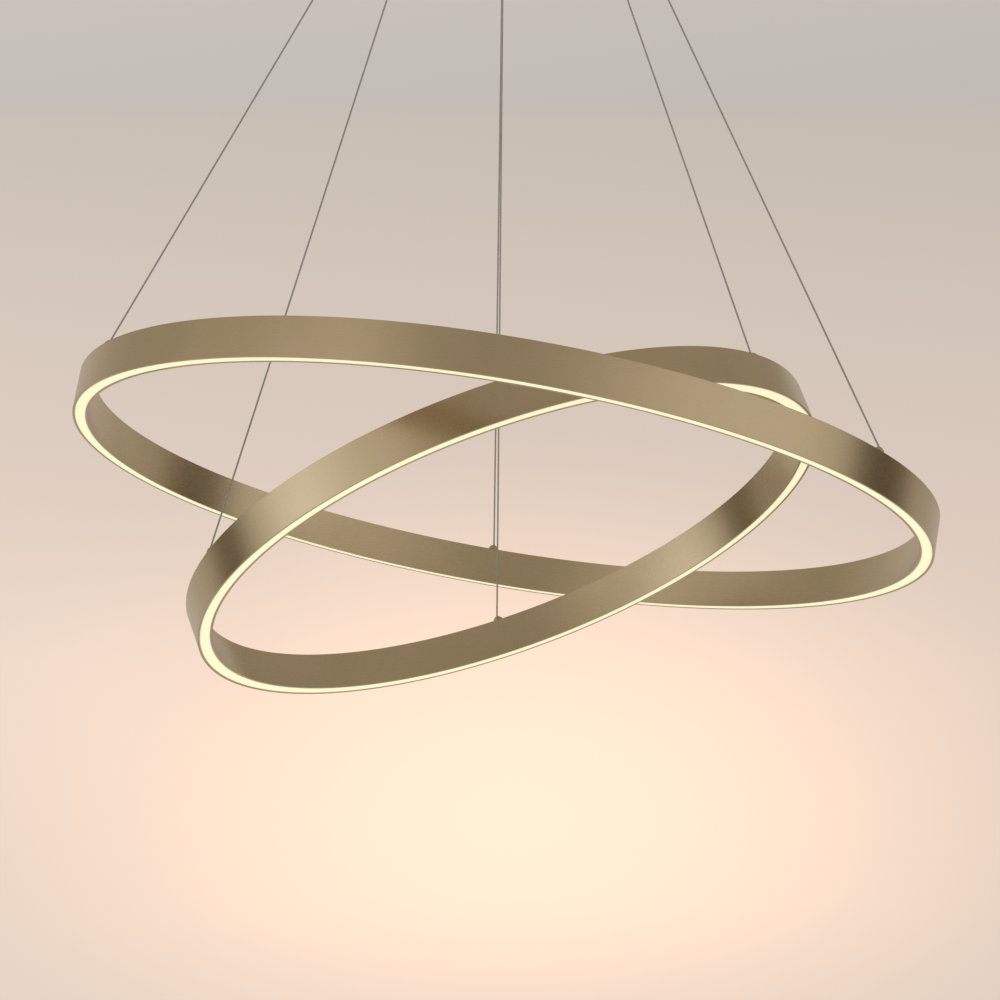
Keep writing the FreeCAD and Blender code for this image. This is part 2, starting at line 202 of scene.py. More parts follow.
def cylinder(name, sides, radius, depth, **placing):
    """A closed cylinder to start a piece from, upright unless its placing turns it."""
    bpy.ops.mesh.primitive_cylinder_add(vertices=sides, radius=radius, depth=depth, **placing)
    piece = bpy.context.object
    piece.name = piece.data.name = name
    settle(piece)
    return piece


def pick_end(piece, side=1):
    """In Edit Mode, selects the piece's topmost face alone, or its lowest with side -1."""
    bpy.ops.mesh.select_mode(type="FACE")
    bpy.ops.mesh.select_all(action="DESELECT")
    form = bmesh.from_edit_mesh(piece.data)
    max(form.faces, key=lambda face: side * face.calc_center_median().z).select_set(True)
    bmesh.update_edit_mesh(piece.data)


def sink_end(piece, side, rim, depth):
    """Leaves a rim round the piece's end face and pulls the rest of the face down by the depth."""
    pick_end(piece, side)
    bpy.ops.mesh.inset(thickness=rim)
    bpy.ops.mesh.extrude_region_move(TRANSFORM_OT_translate={"value": (0, 0, -depth)})


def joined(pieces, name):
    """Joins the pieces into one, with a new name."""
    select_only(*pieces)
    bpy.ops.object.join()
    pieces[0].name = pieces[0].data.name = name
    return pieces[0]


cup = cylinder("cup", 160, CANOPY_RADIUS, CANOPY_HEIGHT, location=(0, 0, -CANOPY_HEIGHT / 2))
bpy.ops.object.mode_set(mode="EDIT")
sink_end(cup, 1, CANOPY_WALL, CANOPY_HEIGHT - CANOPY_BASE)
bpy.ops.object.mode_set(mode="OBJECT")
ease_edges(cup, CANOPY_EDGE, 3)
cup_pieces = [cup]
for side in (-1, 1):
    stud = cylinder("stud", 24, STUD_RADIUS, STUD_TALL, location=(
        side * STUD_X, STUD_Y, CANOPY_BASE - CANOPY_HEIGHT + STUD_TALL / 2))
    ease_edges(stud, STUD_EDGE)
    cup_pieces.append(stud)
canopy = joined(cup_pieces, "canopy_cup")
dress(canopy, champagne_brass("canopy_brass", "Object", EVEN_GRAIN))
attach(canopy, "canopy")
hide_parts("canopy_cover")

# ---- Side screws: two small turned brass screws with domed heads and a round socket in each.
# ---- They go through the canopy's side into the bracket's threaded tabs, and so hold the canopy.

SCREW_Z, SCREW_HEAD_RADIUS, SCREW_HEAD, SCREW_DOME = -0.009, 0.004, 0.0024, 0.0008
SOCKET_RIM, SOCKET_DEPTH = 0.0009, 0.0012
SHANK_SHOULDER, SHANK_LENGTH = 0.0012, 0.006
BRASS_DARK, BRASS_LIGHT, BRASS_ROUGHNESS = (0.42, 0.34, 0.2, 1), (0.52, 0.43, 0.27, 1), 0.3


def turned_brass(name, dark, light, roughness):
    """Machined brass: fine turning rings round each piece and faint darker clouds."""
    material, tree, shader = new_material(name)
    place = add_node(tree, "TexCoord").outputs["Object"]
    clouds = add_node(tree, "TexNoise", Vector=place, Scale=240).outputs["Fac"]
    rings = add_node(tree, "TexWave", Vector=place, Scale=900, Distortion=1.5)
    rings.bands_direction = "Z"
    set_up(shader, Metallic=1.0, Roughness=roughness,
           Base_Color=washed(tree, clouds, [(0.3, dark), (0.7, light)]),
           Normal=relief(tree, rings.outputs["Fac"], strength=0.12, height=0.0001))
    return material


def domed_screw():
    """A screw that stands on its shank, with its head up and a round socket in the head."""
    screw = cylinder("side_screw", 48, SCREW_HEAD_RADIUS, SCREW_HEAD,
                     location=(0, 0, SCREW_HEAD / 2))
    ease_edges(screw, SCREW_DOME, 4)
    bpy.ops.object.mode_set(mode="EDIT")
    sink_end(screw, 1, SOCKET_RIM, SOCKET_DEPTH)
    sink_end(screw, -1, SHANK_SHOULDER, SHANK_LENGTH)
    bpy.ops.object.mode_set(mode="OBJECT")
    bpy.ops.object.shade_smooth_by_angle(angle=math.radians(SMOOTH_ANGLE))
    return screw


screws = []
for side in (1, -1):
    screw = domed_screw()
    settle(screw, Matrix.Translation((side * CANOPY_RADIUS, 0, SCREW_Z))
           @ Matrix.Rotation(side * math.pi / 2, 4, "Y"))
    screws.append(screw)
side_screws = joined(screws, "side_screws")
brass = turned_brass("turned_brass", BRASS_DARK, BRASS_LIGHT, BRASS_ROUGHNESS)
dress(side_screws, brass)
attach(side_screws, "canopy")
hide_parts("canopy_side_screws")

# ---- Driver: a closed case of white moulded plastic that sits on the canopy's two studs under
# ---- two zinc-plated nuts. A white terminal block, fixed under the strap, takes the mains wires.

CASE_EDGE, CASE_EDGE_STEPS, BLOCK_EDGE, STUD_NUT_EDGE = 0.0006, 3, 0.0005, 0.0002
WHITE_DARK, WHITE_LIGHT = (0.72, 0.72, 0.69, 1), (0.8, 0.8, 0.78, 1)


def moulded_white():
    """White moulded plastic with a fine spark-eroded texture."""
    material, tree, shader = new_material("moulded_white")
    place = add_node(tree, "TexCoord").outputs["Object"]
    clouds = add_node(tree, "TexNoise", Vector=place, Scale=60).outputs["Fac"]
    pits = add_node(tree, "TexNoise", Vector=place, Scale=1500, Detail=3).outputs["Fac"]
    set_up(shader, Roughness=0.5,
           Base_Color=washed(tree, clouds, [(0.0, WHITE_DARK), (1.0, WHITE_LIGHT)]),
           Normal=relief(tree, pits, strength=0.25, height=0.0001))
    return material


white_plastic = moulded_white()
driver = eased_copy("led_driver", "driver_case", "canopy", CASE_EDGE, CASE_EDGE_STEPS)
dress(driver, white_plastic)
terminals = eased_copy("terminal_block", "wire_terminals", "canopy", BLOCK_EDGE)
dress(terminals, white_plastic)
stud_nuts = eased_copy("driver_nuts", "stud_nuts", "canopy", STUD_NUT_EDGE)
dress(stud_nuts, zinc)

# ---- Cable grippers: turned brass bodies, three for each ring, with a groove round each.
# ---- Their threaded stems go up through the canopy's base, and a hexagon nut holds each inside.

GRIP_RADIUS, GRIP_TOP, GRIP_BOTTOM, GRIP_NUT_EDGE = 0.0055, -0.038, -0.056, 0.0003
GRIP_FOOT = ((0.0044, 0.0), (0.0049, 0.00015), (0.0053, 0.0005), (0.0055, 0.001))
GRIP_GROOVE_LOW, GRIP_GROOVE_HIGH, GROOVE_SLOPE = 0.004, 0.005, 0.0002
STEM_RADIUS, STEM_TOP, STEM_EDGE, STEM_BORE = 0.004, -0.0294, 0.0005, 0.0013
THREAD_TURNS, THREAD_DEPTH, THREAD_START, THREAD_ENDS = 8, 0.00035, 0.0002, 0.0008
CREST_START, CREST_END = 0.45, 0.55
PLUNGER_RADIUS, PLUNGER_BORE, PLUNGER_PLAY = 0.0023, 0.0012, 0.00006
PLUNGER_TOP, PLUNGER_BOTTOM, PLUNGER_ROOM_TOP = -0.048, -0.062, -0.0425
TURNED_EDGE, FINE_EDGE, TURNED_WELD = 0.0003, 0.0001, 0.000002
EXITS = {"large": 0.065, "small": 0.0515}
EXIT_DEGREES = {"left": 210, "right": 330, "back": 90}


def traced(name, outline):
    """Draws an outline of (radius, height) points, upright in X and Z, one point after another."""
    bpy.ops.object.select_all(action="DESELECT")
    bpy.ops.mesh.primitive_plane_add(size=0.001)
    piece = bpy.context.object
    piece.name = piece.data.name = name
    bpy.ops.object.mode_set(mode="EDIT")
    bpy.ops.mesh.select_mode(type="VERT")
    bpy.ops.mesh.select_all(action="SELECT")
    bpy.ops.mesh.merge(type="CENTER")
    bpy.ops.transform.translate(value=(outline[0][0], 0, outline[0][1]))
    for (r0, z0), (r1, z1) in zip(outline, outline[1:]):
        bpy.ops.mesh.extrude_vertices_move(
            TRANSFORM_OT_translate={"value": (r1 - r0, 0, z1 - z0)})
    bpy.ops.mesh.select_all(action="SELECT")
    bpy.ops.mesh.remove_doubles(threshold=WELD)
    return piece


def spun(piece, steps, smooth=SMOOTH_ANGLE):
    """Turns a traced outline about the upright axis and closes it where it meets itself."""
    bpy.ops.mesh.select_all(action="SELECT")
    bpy.ops.mesh.spin(steps=steps, angle=2 * math.pi, center=(0, 0, 0), axis=(0, 0, 1))
    bpy.ops.mesh.select_all(action="SELECT")
    bpy.ops.mesh.remove_doubles(threshold=TURNED_WELD)
    bpy.ops.mesh.normals_make_consistent(inside=False)
    bpy.ops.object.mode_set(mode="OBJECT")
    bpy.ops.object.shade_smooth_by_angle(angle=math.radians(smooth))


def lathe(name, outline, steps=48):
    """A small turned piece. An outline that doesn't start and end on the axis is closed first."""
    hollow = outline[0][0] > 0 or outline[-1][0] > 0
    piece = traced(name, outline + outline[:1] if hollow else outline)
    spun(piece, steps)
    return piece


def groove(radius, start, end, depth):
    """Outline points of a groove with sloped sides, from one height to the other."""
    slope = math.copysign(GROOVE_SLOPE, end - start)
    return [(radius, start), (radius - depth, start + slope),
            (radius - depth, end - slope), (radius, end)]


def copies(piece, name, places):
    """One copy of a piece at each place, joined into one set, each with its own mesh."""
    made = []
    for place in places:
        twin = piece.copy()
        twin.data = piece.data.copy()
        bpy.context.collection.objects.link(twin)
        settle(twin, place)
        made.append(twin)
    bpy.data.objects.remove(piece)
    return joined(made, name)


def exit_place(ring, side):
    """Where a cable's gripper stands under the canopy, turned to face outwards."""
    turn = math.radians(EXIT_DEGREES[side])
    return (Matrix.Translation((EXITS[ring] * math.cos(turn), EXITS[ring] * math.sin(turn), 0))
            @ Matrix.Rotation(turn, 4, "Z"))


threaded = STEM_TOP - GRIP_TOP - THREAD_ENDS
thread = []
for turn in range(THREAD_TURNS):
    low, pitch = GRIP_TOP + THREAD_START + threaded * turn / THREAD_TURNS, threaded / THREAD_TURNS
    thread += [(STEM_RADIUS - THREAD_DEPTH, low), (STEM_RADIUS, low + pitch * CREST_START),
               (STEM_RADIUS, low + pitch * CREST_END)]
room = PLUNGER_RADIUS + PLUNGER_PLAY
grip = lathe("grip", [
    (room, PLUNGER_ROOM_TOP), (room, GRIP_BOTTOM + 2 * FINE_EDGE),
    (PLUNGER_RADIUS + TURNED_EDGE, GRIP_BOTTOM)]
    + [(radius, GRIP_BOTTOM + up) for radius, up in GRIP_FOOT]
    + groove(GRIP_RADIUS, GRIP_BOTTOM + GRIP_GROOVE_LOW,
             GRIP_BOTTOM + GRIP_GROOVE_HIGH, TURNED_EDGE)
    + [(GRIP_RADIUS, GRIP_TOP - TURNED_EDGE), (GRIP_RADIUS - TURNED_EDGE, GRIP_TOP)]
    + thread
    + [(STEM_RADIUS - STEM_EDGE, STEM_TOP), (STEM_BORE, STEM_TOP), (STEM_BORE, PLUNGER_ROOM_TOP)])
exits = [exit_place(ring, side) for ring in EXITS for side in EXIT_DEGREES]
grips = copies(grip, "grip_bodies", exits)
dress(grips, brass)
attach(grips, "canopy")
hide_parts("gripper_bodies")
grip_nuts = eased_copy("gripper_nuts", "grip_nuts", "canopy", GRIP_NUT_EDGE)
dress(grip_nuts, zinc)

# ---- Release plungers: thin turned brass tubes that stand out of the grippers round the cables.
# ---- A spring inside holds each one down, and pressing it up frees its cable.

PLUNGER_FOOT = ((0.0019, 0.0), (0.0022, 0.00015), (0.0023, 0.0005))
PLUNGER_GROOVE_LOW, PLUNGER_GROOVE_HIGH, PLUNGER_GROOVE = 0.0016, 0.0026, 0.0002

for ring in EXITS:
    for side in EXIT_DEGREES:
        name = "%s_plunger_%s" % (ring, side)
        tip = lathe("release_" + name, [
            (PLUNGER_BORE, PLUNGER_TOP), (PLUNGER_BORE, PLUNGER_BOTTOM + TURNED_EDGE),
            (PLUNGER_BORE + TURNED_EDGE, PLUNGER_BOTTOM)]
            + [(radius, PLUNGER_BOTTOM + up) for radius, up in PLUNGER_FOOT]
            + groove(PLUNGER_RADIUS, PLUNGER_BOTTOM + PLUNGER_GROOVE_LOW,
                     PLUNGER_BOTTOM + PLUNGER_GROOVE_HIGH, PLUNGER_GROOVE)
            + [(PLUNGER_RADIUS, PLUNGER_TOP)], steps=40)
        settle(tip, exit_place(ring, side))
        dress(tip, brass)
        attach(tip, name)
        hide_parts(name)

# ---- Ring channels: aluminium rolled into a ring, tall and thin, open below, brass anodised.
# ---- The large ring is tilted up to the left, and the small one up to the right and the viewer.

CHANNEL_HEIGHT, CHANNEL_WIDTH, CHANNEL_WALL, CHANNEL_TOP = 0.036, 0.014, 0.0019, 0.0025
CHANNEL_EDGE, EDGE_STEPS, ROLL_STEPS, ROLL_SMOOTH = 0.00035, 3, 400, 30
LEVEL_FACE = 0.7
RING_RADIUS = {"large": 0.400, "small": 0.300}
RING_DROP = {"large": 0.7490, "small": 0.7993}
RING_TILT = {"large": 9.6, "small": 20.9}
HIGH_SIDE_DEGREES = {"large": 180.0, "small": 337.5}


def ring_place(ring):
    """Where the ring hangs: below the canopy's middle, with its high side raised by the tilt."""
    turn = math.radians(HIGH_SIDE_DEGREES[ring] - 90)
    hinge = Vector((math.cos(turn), math.sin(turn), 0))
    return (Matrix.Translation((0, 0, -RING_DROP[ring]))
            @ Matrix.Rotation(math.radians(RING_TILT[ring]), 4, hinge))


def lay_grain(piece, radius):
    """Unrolls the piece into its own map: round the ring in metres, and across its faces."""
    mesh = piece.data
    while mesh.uv_layers:
        mesh.uv_layers.remove(mesh.uv_layers[0])
    layer = mesh.uv_layers.new(name="roll")
    for face in mesh.polygons:
        centre = math.atan2(face.center.y, face.center.x)
        upright = abs(face.normal.z) < LEVEL_FACE
        for corner in face.loop_indices:
            p = mesh.vertices[mesh.loops[corner].vertex_index].co
            angle = math.atan2(p.y, p.x)
            angle += 2 * math.pi * round((centre - angle) / (2 * math.pi))
            layer.data[corner].uv = (angle * radius, p.z if upright else math.hypot(p.x, p.y))


def rolled(name, section, radius, edge):
    """Rolls a closed section of (radius, height) points into a ring, its corners eased."""
    piece = traced(name, section + section[:1])
    bpy.ops.mesh.bevel(offset=edge, offset_type="OFFSET", segments=EDGE_STEPS, affect="VERTICES")
    spun(piece, ROLL_STEPS, ROLL_SMOOTH)
    even = piece.modifiers.new("even", "WEIGHTED_NORMAL")
    even.keep_sharp = True
    bpy.ops.object.modifier_apply(modifier="even")
    lay_grain(piece, radius)
    return piece


ring_brass = champagne_brass("champagne_brass", "UV", ROLLED_GRAIN)
for ring, outer in RING_RADIUS.items():
    inner, half = outer - CHANNEL_WIDTH, CHANNEL_HEIGHT / 2
    web = half - CHANNEL_TOP
    channel = rolled(ring + "_channel_rolled", [
        (inner, half), (outer, half), (outer, -half), (outer - CHANNEL_WALL, -half),
        (outer - CHANNEL_WALL, web), (inner + CHANNEL_WALL, web), (inner + CHANNEL_WALL, -half),
        (inner, -half)], outer, CHANNEL_EDGE)
    settle(channel, ring_place(ring))
    dress(channel, ring_brass)
    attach(channel, ring + "_ring")
    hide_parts(ring + "_ring_channel")

# ---- LED boards: straight white boards stuck end to end under the channel's web, out of sight.
# ---- They are the CAD's own solids, and get their finish here: white with yellow phosphor dots.

PHOSPHOR, BOARD_WHITE = (0.85, 0.62, 0.2, 1), (0.82, 0.81, 0.76, 1)


def board_white():
    """White board lacquer with small yellow phosphor dots."""
    material, tree, shader = new_material("led_board")
    place = add_node(tree, "TexCoord").outputs["Object"]
    dots = add_node(tree, "TexVoronoi", Vector=place, Scale=220).outputs["Distance"]
    set_up(shader, Roughness=0.45,
           Base_Color=washed(tree, dots, [(0.25, PHOSPHOR), (0.4, BOARD_WHITE)]))
    return material


boards_white = board_white()
for ring in RING_RADIUS:
    dress(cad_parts[ring + "_led_boards"], boards_white)

# ---- Opal strips: frosted plastic rings pressed between the channel's walls, just inside its lips.
# ---- They glow from the boards behind, a touch deeper in colour along both edges.

STRIP_HEIGHT, STRIP_RECESS, STRIP_GAP, STRIP_EDGE = 0.004, 0.0004, 0.0001, 0.0004
OPAL, OPAL_EDGE_SHARE = (0.62, 0.59, 0.49, 1), 0.14
OPAL_GLOW, OPAL_EDGE_GLOW = (0.58, 0.545, 0.322, 1), (0.26, 0.17, 0.08, 1)


def opal(name, radius):
    """Lit frosted plastic: warm white, and deeper within a share of its width from each edge."""
    material, tree, shader = new_material(name)
    roll = add_node(tree, "SeparateXYZ", Vector=add_node(tree, "TexCoord").outputs["UV"])
    across = add_node(tree, "MapRange", Value=roll.outputs["Y"],
                      From_Min=radius - CHANNEL_WIDTH + CHANNEL_WALL,
                      From_Max=radius - CHANNEL_WALL).outputs["Result"]
    set_up(shader, Base_Color=OPAL, Roughness=0.55, Emission_Strength=1.0,
           Emission_Color=washed(tree, across, [
               (0.0, OPAL_EDGE_GLOW), (OPAL_EDGE_SHARE, OPAL_GLOW),
               (1 - OPAL_EDGE_SHARE, OPAL_GLOW), (1.0, OPAL_EDGE_GLOW)]))
    return material


for ring, radius in RING_RADIUS.items():
    outer = radius - CHANNEL_WALL - STRIP_GAP
    inner = radius - CHANNEL_WIDTH + CHANNEL_WALL + STRIP_GAP
    low = -CHANNEL_HEIGHT / 2 + STRIP_RECESS
    strip = rolled(ring + "_opal_strip", [
        (inner, low + STRIP_HEIGHT), (outer, low + STRIP_HEIGHT), (outer, low), (inner, low)],
        radius, STRIP_EDGE)
    settle(strip, ring_place(ring))
    dress(strip, opal(ring + "_opal", radius))
    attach(strip, ring + "_ring")
    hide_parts(ring + "_ring_diffuser")

# ---- Cable anchors: satin brass heads with a sloped crown, screwed through the rings' web, and a
# ---- nut inside. A swaged steel end fills each: its neck shows in the mouth, its barrel below.

HEAD_RADIUS, HEAD_HEIGHT, SHOULDER, CROWN_RADIUS = 0.0047, 0.0052, 0.0028, 0.0024
HEAD_GROOVE_HIGH, HEAD_GROOVE_LOW = 0.0010, 0.0001
ANCHOR_STEM, ANCHOR_STEM_LONG, NECK_BORE, WEB_NUT_EDGE = 0.003, 0.0085, 0.00132, 0.0003
NECK_TIP = ((0.0, 0.0006), (0.0005, 0.0005), (0.0009, 0.0003), (0.0012, -0.0001))
NECK_RADIUS, BARREL_RADIUS, BARREL_TOP, BARREL_BOTTOM = 0.0012, 0.0024, -0.00855, -0.01355
BARREL_EDGE = 0.00025
HEAD_DARK, HEAD_LIGHT, HEAD_ROUGHNESS = (0.40, 0.33, 0.22, 1), (0.50, 0.42, 0.29, 1), 0.38
ANCHOR_DEGREES = {"large": (205.1, 324.8, 92.2), "small": (206.5, 326.0, 91.4)}


def anchor_place(ring, degrees):
    """Where an anchor stands on its ring's web, turned to face outwards."""
    radius, turn = RING_RADIUS[ring] - CHANNEL_WIDTH / 2, math.radians(degrees)
    on_web = (radius * math.cos(turn), radius * math.sin(turn), CHANNEL_HEIGHT / 2)
    return ring_place(ring) @ Matrix.Translation(on_web) @ Matrix.Rotation(turn, 4, "Z")


head_brass = turned_brass("head_brass", HEAD_DARK, HEAD_LIGHT, HEAD_ROUGHNESS)
for ring in RING_RADIUS:
    places = [anchor_place(ring, degrees) for degrees in ANCHOR_DEGREES[ring]]
    head = lathe("anchor", [
        (NECK_BORE, HEAD_HEIGHT - TURNED_EDGE), (NECK_BORE + TURNED_EDGE, HEAD_HEIGHT),
        (CROWN_RADIUS - TURNED_EDGE, HEAD_HEIGHT), (CROWN_RADIUS, HEAD_HEIGHT - FINE_EDGE),
        (CROWN_RADIUS + TURNED_EDGE, HEAD_HEIGHT - TURNED_EDGE),
        (HEAD_RADIUS - TURNED_EDGE, SHOULDER + 2 * FINE_EDGE),
        (HEAD_RADIUS - FINE_EDGE, SHOULDER), (HEAD_RADIUS, SHOULDER - TURNED_EDGE)]
        + groove(HEAD_RADIUS, HEAD_GROOVE_HIGH, HEAD_GROOVE_LOW, TURNED_EDGE)
        + [(HEAD_RADIUS, 0.0), (ANCHOR_STEM, 0.0), (ANCHOR_STEM, -ANCHOR_STEM_LONG),
           (NECK_BORE, -ANCHOR_STEM_LONG)])
    heads = copies(head, ring + "_anchor_heads", places)
    dress(heads, head_brass)
    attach(heads, ring + "_ring")
    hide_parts(ring + "_cable_anchors")
    stop = lathe("stop", [(radius, HEAD_HEIGHT + up) for radius, up in NECK_TIP] + [
        (NECK_RADIUS, BARREL_TOP), (BARREL_RADIUS - 2 * FINE_EDGE, BARREL_TOP),
        (BARREL_RADIUS, BARREL_TOP - BARREL_EDGE), (BARREL_RADIUS, BARREL_BOTTOM + BARREL_EDGE),
        (BARREL_RADIUS - TURNED_EDGE, BARREL_BOTTOM), (0.0, BARREL_BOTTOM)], steps=32)
    stops = copies(stop, ring + "_cable_ends", places)
    dress(stops, zinc)
    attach(stops, ring + "_ring")
    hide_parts(ring + "_cable_stops")
    nuts = eased_copy(ring + "_anchor_nuts", ring + "_web_nuts", ring + "_ring", WEB_NUT_EDGE)
    dress(nuts, zinc)

# ---- Suspension cables: fine stranded steel under a clear coat, 1.6 mm thick, pulled straight.
# ---- Each goes up into its plunger and down into its anchor.

CABLE_RADIUS, CABLE_TUCK, CABLE_SEAT, STRANDS, STRAND_LAY = 0.0008, 0.006, 0.0002, 6, 0.011
# The darker colour is painted shade for the valleys between the wires.
STRAND_GROOVE_SHADE, STRAND_LIGHT = (0.165, 0.15, 0.137, 1), (0.45, 0.42, 0.385, 1)
WAVE_LENGTH = 10 / (2 * math.pi)


def strand_steel():
    """Twisted steel strands: slanting valleys of painted shade between bright wires, under a clear
    coat.
    """
    material, tree, shader = new_material("strand_steel")
    lay = add_node(tree, "Mapping", Vector=add_node(tree, "TexCoord").outputs["UV"],
                   Scale=(1 / WAVE_LENGTH, STRANDS / WAVE_LENGTH / STRAND_LAY, 0))
    twist = add_node(tree, "TexWave", Vector=lay.outputs["Vector"], Scale=1.0)
    twist.bands_direction = "DIAGONAL"
    wires = twist.outputs["Fac"]
    # The colour ramp paints shade into the valleys between the wires.
    set_up(shader, Metallic=0.7, Roughness=0.42,
           Base_Color=washed(tree, wires, [(0.05, STRAND_GROOVE_SHADE), (0.6, STRAND_LIGHT)]),
           Normal=relief(tree, wires, strength=0.6, height=0.0002))
    return material


def lay_strands(cable, foot, lean):
    """Maps the cable for its twist: strands round it, and metres up from its foot."""
    upright = lean.inverted()
    layer = cable.data.uv_layers.active
    for face in cable.data.polygons:
        middle = upright @ (face.center - foot)
        for corner in face.loop_indices:
            p = upright @ (cable.data.vertices[cable.data.loops[corner].vertex_index].co - foot)
            angle = math.atan2(p.y, p.x)
            angle += 2 * math.pi * round((math.atan2(middle.y, middle.x) - angle) / (2 * math.pi))
            layer.data[corner].uv = (angle / (2 * math.pi) * STRANDS, p.z)


strands = strand_steel()
for ring in RING_RADIUS:
    for side, degrees in zip(EXIT_DEGREES, ANCHOR_DEGREES[ring]):
        mouth = exit_place(ring, side) @ Vector((0, 0, PLUNGER_BOTTOM))
        tucked = mouth + Vector((0, 0, CABLE_TUCK))
        foot = anchor_place(ring, degrees) @ Vector((0, 0, HEAD_HEIGHT + CABLE_SEAT))
        lean = (mouth - foot).normalized().to_track_quat("Z", "Y").to_matrix()
        cable = cylinder("%s_strand_%s" % (ring, side), 24, CABLE_RADIUS, (mouth - foot).length,
                         location=(mouth + foot) / 2, rotation=lean.to_euler())
        bpy.ops.object.mode_set(mode="EDIT")
        pick_end(cable)
        bpy.ops.mesh.extrude_region_move(TRANSFORM_OT_translate={"value": tucked - mouth})
        bpy.ops.object.mode_set(mode="OBJECT")
        lay_strands(cable, foot, lean)
        bpy.ops.object.shade_smooth_by_angle(angle=math.radians(CORNER_ANGLE))
        dress(cable, strands)
        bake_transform(cable)
        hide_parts("%s_cable_%s" % (ring, side))

# ---- Studio: a pale floor far below, a pale wall ahead with a warm pool of light, and soft lights.
# ---- The satin metal mirrors a room: a bright window at the left, and at each side one dark
# ---- upright cloth that only reflections show.

FLOOR_Z, FLOOR_SIZE = -3.4, 120
FLOOR_DARK, FLOOR_LIGHT = (0.78, 0.74, 0.68, 1), (0.82, 0.78, 0.72, 1)

bpy.ops.mesh.primitive_plane_add(size=FLOOR_SIZE, location=(0, 0, FLOOR_Z))
floor = bpy.context.object
floor.name = "floor"
floor_paint, tree, shader = new_material("floor_paint")
mottle = add_node(tree, "TexNoise", Scale=3).outputs["Fac"]
set_up(shader, Roughness=0.8,
       Base_Color=washed(tree, mottle, [(0.0, FLOOR_DARK), (1.0, FLOOR_LIGHT)]))
dress(floor, floor_paint)

# The world is one set of nodes: a drawn wall ahead, a room for the metal to mirror, and a fill.

world = bpy.data.worlds.new("studio")
bpy.context.scene.world = world
world.use_nodes = True
sky = world.node_tree
sky.nodes.clear()


def reckon(operation, first, second=0.0):
    """One sum for the sky, of numbers or other nodes' results."""
    node = sky.nodes.new("ShaderNodeMath")
    node.operation = operation
    plug(first, node.inputs[0])
    plug(second, node.inputs[1])
    return node.outputs["Value"]


def fade(tree, value, start, end, low=0.0, high=1.0, kind="SMOOTHSTEP"):
    """Goes from low to high as the value goes from start to end."""
    node = tree.nodes.new("ShaderNodeMapRange")
    node.interpolation_type = kind
    set_up(node, Value=value, From_Min=start, From_Max=end, To_Min=low, To_Max=high)
    return node.outputs["Result"]


def blended(share, first, second, kind="MIX"):
    """Goes from the first colour to the second as the share goes from 0 to 1."""
    node = sky.nodes.new("ShaderNodeMix")
    node.data_type, node.blend_type = "RGBA", kind
    set_up(node, Factor=share, A=first, B=second)
    return node.outputs["Result"]


def as_seen(red, green, blue):
    """A colour as a screen shows it, 0 to 255, on the shader's own scale."""
    return tuple(c / 12.92 if c <= 0.04045 else ((c + 0.055) / 1.055) ** 2.4
                 for c in (red / 255, green / 255, blue / 255)) + (1,)


def room_tone(level):
    """Light of that level: white where bright, warmer where dim."""
    green, blue = 0.84 + 0.12 * level, 0.6 + 0.285 * level
    return (level, level * green, level * blue, 1)


def round_the_room(levels):
    """Light levels by bearing, in degrees from +X towards +Y. The ramp is cut open at 180."""
    marks = sorted(((degrees + 180) % 360 / 360, room_tone(level))
                   for degrees, level in levels.items())
    return washed(sky, bearing.outputs["Fac"], marks + [(1.0, marks[0][1])])


# Every direction has a bearing round the room and, ahead, a slope aside and a slope upwards.

LEAST_AHEAD = 0.05

direction = add_node(sky, "TexCoord").outputs["Generated"]
bearing = add_node(sky, "TexGradient", Vector=direction)
bearing.gradient_type = "RADIAL"
way = add_node(sky, "SeparateXYZ", Vector=direction).outputs
ahead = reckon("MAXIMUM", way["Y"], LEAST_AHEAD)
aside, rise = reckon("DIVIDE", way["X"], ahead), reckon("DIVIDE", way["Z"], ahead)

# The wall: a warm colour, darkened upwards by painted shade to a cooler strip along its top and a
# little to the right, with painted light: a glow at the left and the pool.

WALL_LOW, WALL_HIGH = 0.0928, 0.4057
WALL_FOOT, WALL_WARM, WALL_TOP = (228, 210, 195), (231, 211, 196), (201, 191, 181)
STRIP_FOOT, STRIP_TOP = (195, 190, 184), (200, 193, 187)
# Stops of the wall's colour, and of the painted shade that darkens it upwards.
WALL_TONE_AND_SHADE = [(0.0, as_seen(*WALL_FOOT)), (0.32, as_seen(*WALL_WARM)), (0.87, as_seen(*WALL_TOP)),
              (0.89, as_seen(*STRIP_FOOT)), (1.0, as_seen(*STRIP_TOP))]
WALL_ENDS, WALL_SHADES = (-0.16, 0.16), (1.02, 0.965)
LEFT_GLOW, LEFT_GLOW_RISE, LEFT_GLOW_REACH, LEFT_GLOW_ENDS = 0.06, 0.19, 0.07, (-0.13, -0.07)
POOL_ASIDE, POOL_RISE, POOL_FLAT, POOL_REACH = 0.003, 0.147, 1.6, 0.195
POOL_LIGHT, POOL_FOOT, POOL_FOOT_SHARE = (1.2, 0.88, 0.67, 1), (0.085, 0.125), 0.62

# Painted shade: this ramp darkens the wall upwards.
wall = washed(sky, fade(sky, rise, WALL_LOW, WALL_HIGH, kind="LINEAR"), WALL_TONE_AND_SHADE)
